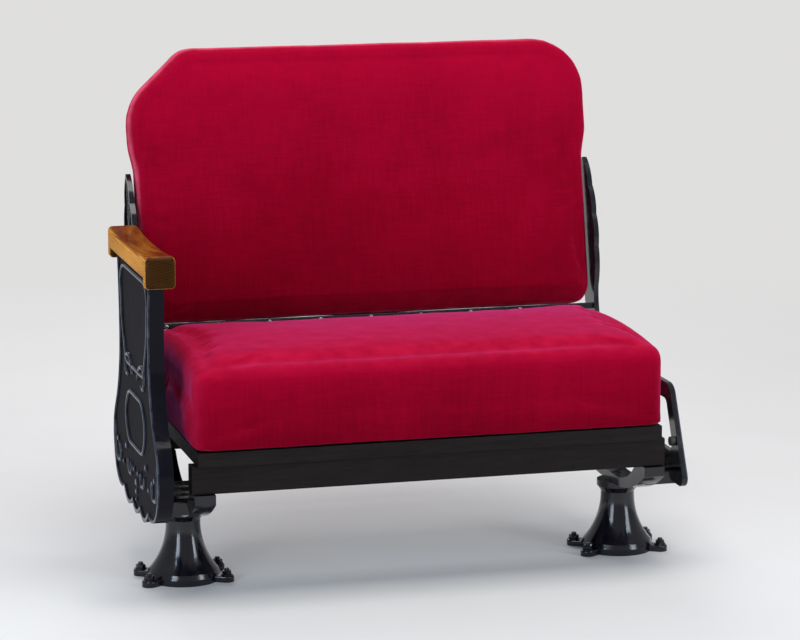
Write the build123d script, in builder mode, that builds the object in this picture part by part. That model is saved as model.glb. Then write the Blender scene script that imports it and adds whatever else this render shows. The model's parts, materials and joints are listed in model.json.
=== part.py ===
"""Walkover double seat of a railway passenger coach, in millimetres.

The origin is the middle of the aisle pedestal's foot, on the floor. X runs across the
coach from the aisle to the window, Y runs away from the sitter, and Z is up. At rest the
back stands on the +Y side, and it walks over the cushion to the -Y side on two pairs of arms.
"""

from build123d import *
from math import atan2, cos, degrees, hypot, radians, sin
import os

# Across the seat, from its middle plane out to the end castings
CUSHION_HALF = 460.0
CASTING_CLEARANCE = 7.0
CASTING_THICK = 10.0
COLLAR_LENGTH = 8.5
ARM_THICK = 7.0
ARM_CLEARANCE = 5.5
PANEL_DEPTH = 26.0
PANEL_SKIN = 7.0
PEDESTAL_INSET = 61.0

# Floor pedestals
FOOT_THICK = 12.0
FOOT_RADIUS = 70.0
EAR_RADIUS = 14.0
BOLT_SPACING_X = 150.0
BOLT_SPACING_Y = 88.0
BOLT_HOLE_RADIUS = 6.0
COLUMN_RADIUS = 33.0
COLUMN_TOP = 140.0
FLARE_TOP = 112.0
FLARE_RADIUS = 142.0
FLARE_TURN = 40.0
COLLAR_RADIUS = 41.0
COLLAR_HEIGHT = 22.0

# Yokes on the pedestals, which carry the rails and the end castings
YOKE_RISE = 72.0
YOKE_THICK = 40.0
YOKE_DEPTH = 18.0
YOKE_SAG = 14.0
YOKE_PAD_LENGTH = 50.0
LUG_OFFSET = 150.0
LUG_RISE = 38.0
LUG_WIDTH = 32.0
LUG_HEIGHT = 26.0

# Rails and the cushion's wooden base
RAIL_INSET = 38.0
RAIL_WIDTH = 34.0
RAIL_DEPTH = 54.0
BASE_THICK = 27.0
BASE_INSET = 10.0
BASE_BOARD = 50.0
BASE_SLATS = 6

# Cushion
CUSHION_DEPTH = 456.0
CUSHION_EDGE_HEIGHT = 154.0
CUSHION_CROWN = 16.0
CUSHION_CORNER_RADIUS = 38.0
CUSHION_TOP_RADIUS = 33.0

# Back
BACK_LEAN = 12.0
BACK_GAP = 46.0
BACK_RISE = -4.0
BACK_HEIGHT = 547.0
BACK_THICK = 86.0
BACK_FRONT_RADIUS = 32.0
BACK_REAR_RADIUS = 40.0
SHOULDER_BULGE = 9.0
SHOULDER_DROP = 87.0
SHOULDER_RISE = 44.0
SHOULDER_RADIUS = 120.0
AISLE_CUT_WIDTH = 117.0
AISLE_CUT_HEIGHT = 107.0
AISLE_CUT_TOP_RADIUS = 44.0
AISLE_CUT_SIDE_RADIUS = 118.0
WINDOW_CORNER_RADIUS = 112.0
PAD_FOOT_RADIUS = 42.0
BACK_RAIL_THICK = 12.0
BACK_RAIL_WIDTH = 44.0

# Leaf castings on the back's sides, which run down to the pivots
LEAF_PLATE = 6.0
LEAF_TIP_GAP = 11.0
LEAF_HALF = 52.0
LEAF_NECK_HALF = 34.0
LEAF_LOBE_DEPTH = 7.0
LEAF_RIM = 4.0
VEIN_RADIUS = 3.0
MIDRIB_RADIUS = 3.5
PIVOT_DROP = 75.0
PIVOT_HALF_SPACING = 32.0
CASTING_END_RADIUS = 17.0

# Arms, shafts and pins
PIVOT_RISE = 36.0
ARM_HALF_WIDTH = 9.0
HUB_RADIUS = 14.0
HUB_LENGTH = 18.0
SHAFT_RADIUS = 8.0
SHAFT_ENTRY = 12.0
PIN_RADIUS = 6.0
PIN_COLLAR_RADIUS = 11.0
PIN_END = 2.0
EYE_WALL = 6.0
LOOSE_EYE_PLAY = 7.0
RUNNING_CLEARANCE = 0.05
SEAT_CLEARANCE = 0.3
EDGE_BREAK = 1.0

# Rubber stops
STOP_RADIUS = 9.0
STOP_REACH = 150.0
STOP_END_GAP = 1.0

# Ornate aisle end casting
PANEL_TOP = 613.0
PANEL_TOP_HALF = 163.0
PANEL_WAIST_HALF = 150.0
PANEL_WAIST_DROP = 158.0
PANEL_FLARE_HALF = 236.0
PANEL_FLARE_DROP = 360.0
PANEL_FOOT_DROP = 479.0
FLARE_SPREAD = 53.0
SHOULDER_INSET = 30.0
HIP_INSET = 17.0
CURL_INSET = 22.0
FIELD_INSET = 14.0
FIELD_DROP = 205.0
OVAL_DROP = 303.0
OVAL_RISE = 54.0
OVAL_HALF = 112.0
PANEL_RIM = 8.0
RELIEF_HEIGHT = 4.0
RELIEF_ROUND = 2.5
BEAD_RADIUS = 4.5
BOSS_RADIUS = 16.0
STOP_BOSS_RADIUS = 12.0

# Plain window end casting
WINDOW_PLATE_THICK = 12.0
WINDOW_TOP_RISE = 212.0
WINDOW_TOP_HALF = 120.0
WINDOW_FOOT_HALF = 215.0
WINDOW_RIB = 32.0
WINDOW_CORNER = 34.0

# Armrest
ARMREST_WIDTH = 57.0
ARMREST_LENGTH = 390.0
ARMREST_THICK = 36.0
ARMREST_END_RISE = 8.0
ARMREST_LIP_DROP = 16.0
ARMREST_LIP_LENGTH = 28.0
ARMREST_GAP = 5.5
ARMREST_EDGE_RADIUS = 9.0
ARMREST_NOSE_RADIUS = 13.0

CAST_FILLET = 3.0
OUT = "parts"

# Places that follow from the sizes above
CASTING_INNER = CUSHION_HALF + CASTING_CLEARANCE
CASTING_OUTER = CASTING_INNER + CASTING_THICK
ARM_INNER = CASTING_OUTER + COLLAR_LENGTH
ARM_OUTER = ARM_INNER + ARM_THICK
END_INNER = ARM_OUTER + ARM_CLEARANCE
SEAT_MIDDLE = END_INNER - PEDESTAL_INSET
BACK_HALF = CASTING_INNER + SHOULDER_BULGE
ARMREST_MIDDLE = CASTING_OUTER + ARMREST_GAP + ARMREST_WIDTH / 2
RAIL_OFFSET = CUSHION_DEPTH / 2 - RAIL_INSET
RAIL_BOTTOM = COLUMN_TOP + YOKE_RISE
BASE_BOTTOM = RAIL_BOTTOM + RAIL_DEPTH
CUSHION_BOTTOM = BASE_BOTTOM + BASE_THICK
BACK_FOOT_Y = CUSHION_DEPTH / 2 + BACK_GAP
BACK_FOOT_Z = CUSHION_BOTTOM + CUSHION_EDGE_HEIGHT + BACK_RISE
SHOULDER_TOP = BACK_HEIGHT - AISLE_CUT_HEIGHT - SHOULDER_DROP
SHOULDER_FOOT = SHOULDER_TOP - SHOULDER_RISE
LEAF_TIP = SHOULDER_FOOT - LEAF_TIP_GAP
ARM_PIVOT_HEIGHT = COLUMN_TOP + PIVOT_RISE
LUG_Z = COLUMN_TOP + LUG_RISE
ENDS = (("aisle", -1), ("window", 1))


def solve_linkage():
    """Pivot places at rest, as (Y, Z), with each arm's length, lean and whole swing.

    The back's lean fixes the lower pivots' spacing, so that the same arms hold the back
    at both ends of its travel.
    """
    lean = radians(BACK_LEAN)
    middle_y = BACK_FOOT_Y - PIVOT_DROP * sin(lean)
    middle_z = BACK_FOOT_Z - PIVOT_DROP * cos(lean)
    rise = middle_z - ARM_PIVOT_HEIGHT
    base_half = PIVOT_HALF_SPACING * (cos(lean) - sin(lean) * rise / middle_y)
    across = PIVOT_HALF_SPACING * cos(lean)
    down = PIVOT_HALF_SPACING * sin(lean)
    front_top = (middle_y - across, middle_z + down)
    rear_top = (middle_y + across, middle_z - down)
    front_foot = (-base_half, ARM_PIVOT_HEIGHT)
    rear_foot = (base_half, ARM_PIVOT_HEIGHT)
    return front_foot, front_top, rear_foot, rear_top


FRONT_FOOT, FRONT_TOP, REAR_FOOT, REAR_TOP = solve_linkage()


def arm_lean(foot, top):
    """Angle of an arm from upright, in degrees, towards +Y."""
    return degrees(atan2(top[0] - foot[0], top[1] - foot[1]))


FRONT_ARM_LEAN = arm_lean(FRONT_FOOT, FRONT_TOP)
REAR_ARM_LEAN = arm_lean(REAR_FOOT, REAR_TOP)
ARM_LENGTH = hypot(FRONT_TOP[0] - FRONT_FOOT[0], FRONT_TOP[1] - FRONT_FOOT[1])
SWING = FRONT_ARM_LEAN + REAR_ARM_LEAN


def place(side, offset):
    """X of a plane that lies offset from the seat's middle, on the aisle side (-1) or window side (1)."""
    return SEAT_MIDDLE + side * offset


def cross_plane(offset_x):
    """Sketch plane at one X, with its own x along Y, its own y along Z and its normal along +X."""
    return Plane(origin=(offset_x, 0, 0), x_dir=(0, 1, 0), z_dir=(1, 0, 0))


def back_plane(offset_x):
    """Plane at one X across the leaning back, with its own x along the thickness and its y up the back."""
    lean = radians(BACK_LEAN)
    return Plane(
        origin=(offset_x, BACK_FOOT_Y, BACK_FOOT_Z),
        x_dir=(0, cos(lean), -sin(lean)),
        z_dir=(1, 0, 0),
    )


def save(builder, label):
    builder.part.label = label
    export_step(builder.part, f"{OUT}/{label}.step")


def span(side, near, far):
    """Lower X and length of the stretch between two offsets from the middle, on one side."""
    ends = sorted((place(side, near), place(side, far)))
    return ends[0], ends[1] - ends[0]


def bead(plane, radius, start, heading, bends):
    """Round bead, half sunk in a plane, that follows tangent arcs.

    It starts at a point of the plane, in a heading in degrees, and bends is rows of
    (arc radius, turn in degrees, positive to the left).
    """
    with BuildPart() as strip:
        with BuildLine(plane) as path:
            at = start
            for arc_radius, turn in bends:
                way = (cos(radians(heading)), sin(radians(heading)))
                JernArc(at, way, arc_radius, turn)
                side = 1 if turn > 0 else -1
                centre = (at[0] - side * arc_radius * way[1], at[1] + side * arc_radius * way[0])
                heading += turn
                way = (cos(radians(heading)), sin(radians(heading)))
                at = (centre[0] + side * arc_radius * way[1], centre[1] - side * arc_radius * way[0])
        with BuildSketch(Plane(origin=path.line @ 0, z_dir=path.line % 0)):
            Circle(radius)
        sweep(path=path.line)
    return strip.part


# Pedestals and yokes


def make_pedestal(side):
    axis_x = place(side, SEAT_MIDDLE)
    ear_reach = hypot(BOLT_SPACING_X, BOLT_SPACING_Y)
    ear_turn = degrees(atan2(BOLT_SPACING_Y, BOLT_SPACING_X))
    with BuildPart() as pedestal:
        with BuildSketch(Plane.XY):
            with Locations((axis_x, 0)):
                Circle(FOOT_RADIUS)
                for turn in (ear_turn, -ear_turn):
                    SlotCenterToCenter(ear_reach, 2 * EAR_RADIUS, rotation=turn)
        extrude(amount=FOOT_THICK)
        fillet(pedestal.edges().group_by(Axis.Z)[-1], radius=CAST_FILLET)
        with BuildSketch(Plane(origin=(axis_x, 0, 0), x_dir=(1, 0, 0), z_dir=(0, -1, 0))):
            with BuildLine():
                Line((0, 0), (FOOT_RADIUS, 0))
                Line((FOOT_RADIUS, 0), (FOOT_RADIUS, FOOT_THICK))
                flare = JernArc((COLUMN_RADIUS, FLARE_TOP), (0, -1), FLARE_RADIUS, FLARE_TURN)
                Line(flare @ 1, (FOOT_RADIUS, FOOT_THICK))
                Line(flare @ 0, (COLUMN_RADIUS, COLUMN_TOP - COLLAR_HEIGHT))
                Polyline(
                    (COLUMN_RADIUS, COLUMN_TOP - COLLAR_HEIGHT),
                    (COLLAR_RADIUS, COLUMN_TOP - COLLAR_HEIGHT / 2),
                    (COLLAR_RADIUS, COLUMN_TOP),
                    (0, COLUMN_TOP),
                    (0, 0),
                )
            make_face()
        revolve(axis=Axis((axis_x, 0, 0), (0, 0, 1)))
        with BuildSketch(Plane.XY):
            with Locations((axis_x, 0)):
                with GridLocations(BOLT_SPACING_X, BOLT_SPACING_Y, 2, 2):
                    Circle(BOLT_HOLE_RADIUS)
        extrude(amount=FOOT_THICK * 3, mode=Mode.SUBTRACT)
    return pedestal


def make_yoke(side):
    """Two-armed crosshead: a pad on the pedestal, bowed arms up to the rails, lugs out to the end casting."""
    axis_x = place(side, SEAT_MIDDLE)
    root = COLLAR_RADIUS
    tip_inner = RAIL_OFFSET - YOKE_PAD_LENGTH / 2
    tip_outer = RAIL_OFFSET + YOKE_PAD_LENGTH / 2
    tip_foot = RAIL_BOTTOM - YOKE_DEPTH
    crotch = (root + YOKE_DEPTH, COLUMN_TOP + YOKE_DEPTH)
    middle = ((root + tip_outer) / 2, (COLUMN_TOP + tip_foot) / 2 - YOKE_SAG)
    hollow = ((crotch[0] + tip_inner) / 2, (crotch[1] + RAIL_BOTTOM) / 2 - YOKE_SAG)
    with BuildPart() as yoke:
        with BuildSketch(cross_plane(axis_x)):
            with BuildLine():
                Line((0, COLUMN_TOP), (root, COLUMN_TOP))
                ThreePointArc((root, COLUMN_TOP), middle, (tip_outer, tip_foot))
                Line((tip_outer, tip_foot), (tip_outer, RAIL_BOTTOM))
                Line((tip_outer, RAIL_BOTTOM), (tip_inner, RAIL_BOTTOM))
                ThreePointArc((tip_inner, RAIL_BOTTOM), hollow, crotch)
                Line(crotch, (0, crotch[1]))
                mirror(about=Plane.YZ)
            make_face()
        extrude(amount=YOKE_THICK / 2, both=True)
        lug_x, reach = span(side, SEAT_MIDDLE, END_INNER)
        with BuildSketch(cross_plane(lug_x)):
            with Locations((-LUG_OFFSET, LUG_Z), (LUG_OFFSET, LUG_Z)):
                RectangleRounded(LUG_WIDTH, LUG_HEIGHT, CAST_FILLET)
        extrude(amount=reach)
    return yoke


# Rails and base


def make_rail(rail_y):
    with BuildPart() as rail:
        with BuildSketch(cross_plane(place(-1, CUSHION_HALF))):
            with Locations((rail_y, RAIL_BOTTOM + RAIL_DEPTH / 2)):
                RectangleRounded(RAIL_WIDTH, RAIL_DEPTH, CAST_FILLET)
        extrude(amount=2 * CUSHION_HALF)
    return rail


def make_cushion_base():
    width = 2 * (CUSHION_HALF - BASE_INSET)
    depth = CUSHION_DEPTH - 2 * BASE_INSET
    bay = (width - BASE_BOARD) / (BASE_SLATS + 1)
    with BuildPart() as base:
        with BuildSketch(Plane.XY.offset(BASE_BOTTOM)):
            with Locations((SEAT_MIDDLE, 0)):
                Rectangle(width, depth)
                with GridLocations(bay, 0, BASE_SLATS + 1, 1):
                    Rectangle(bay - BASE_BOARD, depth - 2 * BASE_BOARD, mode=Mode.SUBTRACT)
        extrude(amount=BASE_THICK)
    return base


def make_cushion():
    half = CUSHION_DEPTH / 2
    edge = CUSHION_BOTTOM + CUSHION_EDGE_HEIGHT
    with BuildPart() as cushion:
        with BuildSketch(cross_plane(place(-1, CUSHION_HALF))):
            with BuildLine():
                Polyline((-half, edge), (-half, CUSHION_BOTTOM), (half, CUSHION_BOTTOM), (half, edge))
                ThreePointArc((half, edge), (0, edge + CUSHION_CROWN), (-half, edge))
            make_face()
        extrude(amount=2 * CUSHION_HALF)
        fillet(cushion.edges().filter_by(Axis.Z), radius=CUSHION_CORNER_RADIUS)
        brim = cushion.edges().filter_by(lambda e: e.center().Z > edge - CUSHION_EDGE_HEIGHT / 4)
        fillet(brim, radius=CUSHION_TOP_RADIUS)
    return cushion


# Back


def make_back_pad():
    """Stuffed back, whose rims roll more softly on the face away from the sitter."""
    lean = radians(BACK_LEAN)
    half = BACK_THICK / 2
    face = Plane(
        origin=(SEAT_MIDDLE, BACK_FOOT_Y, BACK_FOOT_Z),
        x_dir=(1, 0, 0),
        z_dir=(0, -cos(lean), sin(lean)),
    )
    corners = (
        ((-CASTING_INNER, 0), PAD_FOOT_RADIUS),
        ((-CASTING_INNER, SHOULDER_FOOT), SHOULDER_RADIUS),
        ((-BACK_HALF, SHOULDER_TOP), SHOULDER_RADIUS),
        ((-BACK_HALF, BACK_HEIGHT - AISLE_CUT_HEIGHT), AISLE_CUT_SIDE_RADIUS),
        ((-BACK_HALF + AISLE_CUT_WIDTH, BACK_HEIGHT), AISLE_CUT_TOP_RADIUS),
        ((BACK_HALF, BACK_HEIGHT), WINDOW_CORNER_RADIUS),
        ((BACK_HALF, SHOULDER_TOP), SHOULDER_RADIUS),
        ((CASTING_INNER, SHOULDER_FOOT), SHOULDER_RADIUS),
        ((CASTING_INNER, 0), PAD_FOOT_RADIUS),
    )
    with BuildSketch() as outline:
        with BuildLine():
            Polyline(*(point for point, radius in corners), close=True)
        make_face()
        for point, radius in corners:
            fillet(outline.vertices().sort_by_distance(point)[0], radius=radius)
    with BuildPart() as pad:
        with BuildSketch(face):
            add(outline.sketch)
        extrude(amount=half, both=True)
        for facing, radius in ((1, BACK_FRONT_RADIUS), (-1, BACK_REAR_RADIUS)):
            rims = pad.edges().filter_by(lambda e: facing * face.to_local_coords(e.center()).Z > half - 1)
            fillet(rims, radius=radius)
    return pad


def make_leaf_face(inset):
    """Outline of a back casting, drawn in by an inset: a lobed pointed leaf on a leg that holds two pins."""
    rows = (
        # share of the leaf's half width, share of its height
        (LEAF_NECK_HALF / LEAF_HALF, 0.12),
        (0.94, 0.38),
        (0.86, 0.60),
        (0.56, 0.80),
    )
    cusps = [(LEAF_HALF * wide - inset, LEAF_TIP * high) for wide, high in rows]
    cusps.append((0, LEAF_TIP - 2 * inset))
    foot = (PIVOT_HALF_SPACING + CASTING_END_RADIUS - inset, -PIVOT_DROP)
    waist = (LEAF_NECK_HALF - LEAF_LOBE_DEPTH / 2 - inset, -PIVOT_DROP / 3)
    with BuildSketch() as face:
        with BuildLine():
            Line((0, -PIVOT_DROP), foot)
            ThreePointArc(foot, waist, cusps[0])
            for low, high in zip(cusps, cusps[1:]):
                run = (high[0] - low[0], high[1] - low[1])
                depth = LEAF_LOBE_DEPTH / hypot(*run)
                lobe = ((low[0] + high[0]) / 2 + depth * run[1], (low[1] + high[1]) / 2 - depth * run[0])
                ThreePointArc(low, lobe, high)
            Line(cusps[-1], (0, -PIVOT_DROP))
        make_face()
        mirror(about=Plane.YZ)
        with Locations((0, -PIVOT_DROP)):
            SlotCenterToCenter(2 * PIVOT_HALF_SPACING, 2 * (CASTING_END_RADIUS - inset))
    return face.sketch


def make_back_casting(side):
    """Leaf casting: a thin plate with a raised rim, a midrib and veins on its outer face."""
    plate_x, plate = span(side, CASTING_INNER, CASTING_INNER + LEAF_PLATE)
    rim_x, rim = span(side, CASTING_INNER + LEAF_PLATE, CASTING_OUTER)
    veined = back_plane(place(side, CASTING_INNER + LEAF_PLATE))
    pins = ((-PIVOT_HALF_SPACING, -PIVOT_DROP), (PIVOT_HALF_SPACING, -PIVOT_DROP))
    veins = (
        # share of the height at the root, heading, bend radius, turn
        (0.06, 52, 90, 40),
        (0.26, 46, 70, 44),
        (0.46, 50, 70, 34),
        (0.65, 60, 60, 24),
    )
    whole = make_leaf_face(0)
    inside = make_leaf_face(LEAF_RIM)
    ribs = []
    for share, heading, bend, turn in veins:
        root = (0, LEAF_TIP * share)
        ribs.append(bead(veined, VEIN_RADIUS, root, heading, ((bend, turn),)))
        ribs.append(bead(veined, VEIN_RADIUS, root, 180 - heading, ((bend, -turn),)))
    with BuildPart() as casting:
        with BuildSketch(back_plane(plate_x)):
            add(whole)
        extrude(amount=plate)
        with BuildSketch(back_plane(rim_x)):
            add(whole)
            add(inside, mode=Mode.SUBTRACT)
            with Locations(*pins):
                Circle(CASTING_END_RADIUS)
        extrude(amount=rim)
        with BuildLine(veined) as midrib:
            Line((0, -PIVOT_DROP / 2), (0, LEAF_TIP - 2 * LEAF_RIM))
        with BuildSketch(Plane(origin=midrib.line @ 0, z_dir=midrib.line % 0)):
            Circle(MIDRIB_RADIUS)
        sweep(path=midrib.line)
        add(ribs)
        with BuildSketch(back_plane(min(plate_x, rim_x))):
            with Locations(*pins):
                Circle(PIN_RADIUS)
        extrude(amount=CASTING_THICK, mode=Mode.SUBTRACT)
    return casting


def make_back_rail():
    with BuildPart() as rail:
        with BuildSketch(back_plane(place(-1, CASTING_INNER))):
            with Locations((0, -BACK_RAIL_THICK / 2)):
                RectangleRounded(BACK_RAIL_WIDTH, BACK_RAIL_THICK, CAST_FILLET)
        extrude(amount=2 * CASTING_INNER)
    return rail


def make_pivot_pins(side):
    """Two shouldered pins in one casting, whose collars keep the arms away from it."""
    shank_x, shank = span(side, CASTING_INNER, ARM_OUTER + PIN_END)
    collar_x, collar = span(side, CASTING_OUTER, ARM_INNER - SEAT_CLEARANCE)
    with BuildPart() as pins:
        with BuildSketch(cross_plane(shank_x)):
            with Locations(FRONT_TOP, REAR_TOP):
                Circle(PIN_RADIUS)
        extrude(amount=shank)
        with BuildSketch(cross_plane(collar_x)):
            with Locations(FRONT_TOP, REAR_TOP):
                Circle(PIN_COLLAR_RADIUS)
        extrude(amount=collar)
    return pins


# Arms and shafts


def make_arm(side, foot, top, eye_radius):
    start_x, thick = span(side, ARM_INNER, ARM_OUTER)
    hub_x, hub = span(side, ARM_OUTER - HUB_LENGTH, ARM_OUTER)
    middle = ((foot[0] + top[0]) / 2, (foot[1] + top[1]) / 2)
    with BuildPart() as arm:
        with BuildSketch(cross_plane(start_x)):
            with Locations(Location((middle[0], middle[1], 0), (0, 0, 90 - arm_lean(foot, top)))):
                Rectangle(ARM_LENGTH, 2 * ARM_HALF_WIDTH)
            with Locations(top):
                Circle(eye_radius + EYE_WALL)
            with Locations(foot):
                Circle(HUB_RADIUS)
        extrude(amount=thick)
        with BuildSketch(cross_plane(hub_x)):
            with Locations(foot):
                Circle(HUB_RADIUS)
        extrude(amount=hub)
        with BuildSketch(cross_plane(hub_x)):
            with Locations(foot):
                Circle(SHAFT_RADIUS)
            with Locations(top):
                Circle(eye_radius)
        extrude(amount=hub, mode=Mode.SUBTRACT)
    return arm


def make_shaft(foot):
    half = END_INNER + SHAFT_ENTRY
    with BuildPart() as shaft:
        with BuildSketch(cross_plane(place(-1, half))):
            with Locations(foot):
                Circle(SHAFT_RADIUS)
        extrude(amount=2 * half)
        chamfer(shaft.edges().filter_by(GeomType.CIRCLE), length=EDGE_BREAK)
    return shaft


# End castings, stops and armrest


def stop_centres():
    """Centres of the two rubber stops, which the rear arm rests on now and the front arm after the swing."""
    lean = radians(REAR_ARM_LEAN)
    reach = ARM_HALF_WIDTH + SEAT_CLEARANCE + STOP_RADIUS
    rear_y = REAR_FOOT[0] + STOP_REACH * sin(lean) + reach * cos(lean)
    rear_z = REAR_FOOT[1] + STOP_REACH * cos(lean) - reach * sin(lean)
    return (rear_y, rear_z), (-rear_y, rear_z)


def make_stops(side):
    start_x, length = span(side, ARM_INNER + STOP_END_GAP, END_INNER)
    with BuildPart() as stops:
        with BuildSketch(cross_plane(start_x)):
            with Locations(*stop_centres()):
                Circle(STOP_RADIUS)
        extrude(amount=length)
        chamfer(stops.edges().filter_by(GeomType.CIRCLE), length=EDGE_BREAK)
    return stops


def make_panel_face(inset):
    """Outline of the ornate end casting, drawn in by an inset: a waisted shield with a flared, lobed foot."""
    top_z = PANEL_TOP - inset
    waist_z = PANEL_TOP - PANEL_WAIST_DROP
    flare_z = PANEL_TOP - PANEL_FLARE_DROP
    foot_z = PANEL_TOP - PANEL_FOOT_DROP + inset
    top_half = PANEL_TOP_HALF - inset
    waist_half = PANEL_WAIST_HALF - inset
    flare_half = PANEL_FLARE_HALF - inset
    shoulder = (flare_half - SHOULDER_INSET, flare_z + FLARE_SPREAD)
    hip = (flare_half - HIP_INSET, flare_z - FLARE_SPREAD)
    hip_rise = hip[1] - foot_z
    lobes = (
        # middle of the lobe and its inner cusp, as shares of the flare's half width and of the hip's rise
        (0.79, 0.41, 0.52, 0.38),
        (0.36, 0.03, 0.16, 0.25),
    )
    with BuildSketch() as face:
        with BuildLine():
            Line((0, top_z), (top_half, top_z))
            TangentArc((waist_half, waist_z), (top_half, top_z), tangent=(0, 1))
            neck = TangentArc((waist_half, waist_z), shoulder, tangent=(0, -1))
            TangentArc(shoulder, hip, tangent=neck % 1)
            at = hip
            for lobe_share, lobe_rise, cusp_share, cusp_rise in lobes:
                cusp = (flare_half * cusp_share, foot_z + hip_rise * cusp_rise)
                ThreePointArc(at, (flare_half * lobe_share, foot_z + hip_rise * lobe_rise), cusp)
                at = cusp
            tip = (0, foot_z)
            TangentArc(tip, at, tangent=(1, 0))
            Line(tip, (0, top_z))
        make_face()
        mirror(about=Plane.YZ)
    return face.sketch


def rounded_face(corners, inset):
    """Face inside a polygon given by rows of (across, up, corner radius), drawn in by an inset."""
    with BuildSketch() as face:
        with BuildLine():
            Polyline(*((across, up) for across, up, radius in corners), close=True)
        make_face()
        for across, up, radius in corners:
            fillet(face.vertices().sort_by_distance((across, up))[0], radius=radius)
        if inset:
            offset(amount=-inset, mode=Mode.REPLACE)
    return face.sketch


def mirrored(rows):
    """Corner rows of the right half, with their mirror images after them in reverse order."""
    return rows + tuple((-across, up, radius) for across, up, radius in reversed(rows))


def raised(plane, outer, inner, broken_above=0):
    """Strip between two faces, or a whole face where inner is None, raised from a plane.

    Its top edges are broken where they lie above a height.
    """
    with BuildPart() as strip:
        with BuildSketch(plane):
            add(outer)
            if inner:
                add(inner, mode=Mode.SUBTRACT)
        extrude(amount=-RELIEF_HEIGHT)
        top = strip.edges().group_by(Axis.X)[0]
        chamfer(top.filter_by(lambda e: e.center().Z > broken_above), length=RELIEF_ROUND)
    return strip.part


def round_face(across, up, radius):
    with BuildSketch() as face:
        with Locations((across, up)):
            Circle(radius)
    return face.sketch


def make_aisle_panel():
    """Ornate end casting: a tray with bosses inside, and raised beads, scrolls and buttons on its face."""
    face_x = place(-1, END_INNER + PANEL_DEPTH)
    ornament = cross_plane(face_x)
    field = mirrored((
        # across, up, corner radius
        (PANEL_WAIST_HALF - 4, PANEL_TOP - FIELD_INSET, 40),
        (PANEL_WAIST_HALF - 22, PANEL_TOP - 128, 60),
        (90, PANEL_TOP - FIELD_DROP, 34),
    ))
    oval_z = PANEL_TOP - OVAL_DROP
    oval = mirrored((
        (0.62 * OVAL_HALF, oval_z + OVAL_RISE, 44),
        (OVAL_HALF, oval_z, 50),
        (0.62 * OVAL_HALF, oval_z - OVAL_RISE, 44),
    ))
    foot_z = PANEL_TOP - PANEL_FOOT_DROP
    hip_z = PANEL_TOP - PANEL_FLARE_DROP - FLARE_SPREAD
    waist_z = PANEL_TOP - PANEL_WAIST_DROP
    scrolls = (
        # start across and up, heading, and its bends as (radius, turn)
        (PANEL_FLARE_HALF - CURL_INSET, hip_z + 71, -88, ((300, -8), (34, -100), (17, -150))),
        (0.36 * PANEL_FLARE_HALF, hip_z + 21, -96, ((26, -84), (13, -150))),
        (28, waist_z - 58, 78, ((40, -100), (20, -120), (12, -100))),
    )
    buttons = (
        # share of the flare's half width, height over the hip, radius
        (0.42, 44, 7),
        (0.79, 39, 7),
        (0.54, 7, 6),
        (0.085, 15, 6),
    )
    drops = (
        # height over the foot, radius
        (60, 8),
        (42, 6.5),
        (27, 5),
    )
    whole = make_panel_face(0)
    hollow = make_panel_face(PANEL_SKIN)
    relief = [raised(ornament, whole, make_panel_face(PANEL_RIM), hip_z)]
    for loop in (field, oval):
        relief.append(raised(ornament, rounded_face(loop, 0), rounded_face(loop, PANEL_RIM)))
    for share, rise, radius in buttons:
        for across in (-share * PANEL_FLARE_HALF, share * PANEL_FLARE_HALF):
            relief.append(raised(ornament, round_face(across, hip_z + rise, radius), None))
    for rise, radius in drops:
        relief.append(raised(ornament, round_face(0, foot_z + rise, radius), None))
    for across, up, heading, bends in scrolls:
        turned = tuple((radius, -turn) for radius, turn in bends)
        relief.append(bead(ornament, BEAD_RADIUS, (across, up), heading, bends))
        relief.append(bead(ornament, BEAD_RADIUS, (-across, up), 180 - heading, turned))
    with BuildPart() as panel:
        with BuildSketch(ornament):
            add(whole)
        extrude(amount=PANEL_DEPTH)
        with BuildSketch(cross_plane(face_x + PANEL_SKIN)):
            add(hollow)
            with Locations(FRONT_FOOT, REAR_FOOT):
                Circle(BOSS_RADIUS, mode=Mode.SUBTRACT)
            with Locations(*stop_centres()):
                Circle(STOP_BOSS_RADIUS, mode=Mode.SUBTRACT)
            with Locations((-LUG_OFFSET, LUG_Z), (LUG_OFFSET, LUG_Z)):
                RectangleRounded(LUG_WIDTH, LUG_HEIGHT, CAST_FILLET, mode=Mode.SUBTRACT)
        extrude(amount=PANEL_DEPTH, mode=Mode.SUBTRACT)
        with BuildSketch(cross_plane(place(-1, END_INNER))):
            with Locations(FRONT_FOOT, REAR_FOOT):
                Circle(SHAFT_RADIUS + RUNNING_CLEARANCE)
        extrude(amount=-SHAFT_ENTRY, mode=Mode.SUBTRACT)
        add(relief)
    return panel


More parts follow.
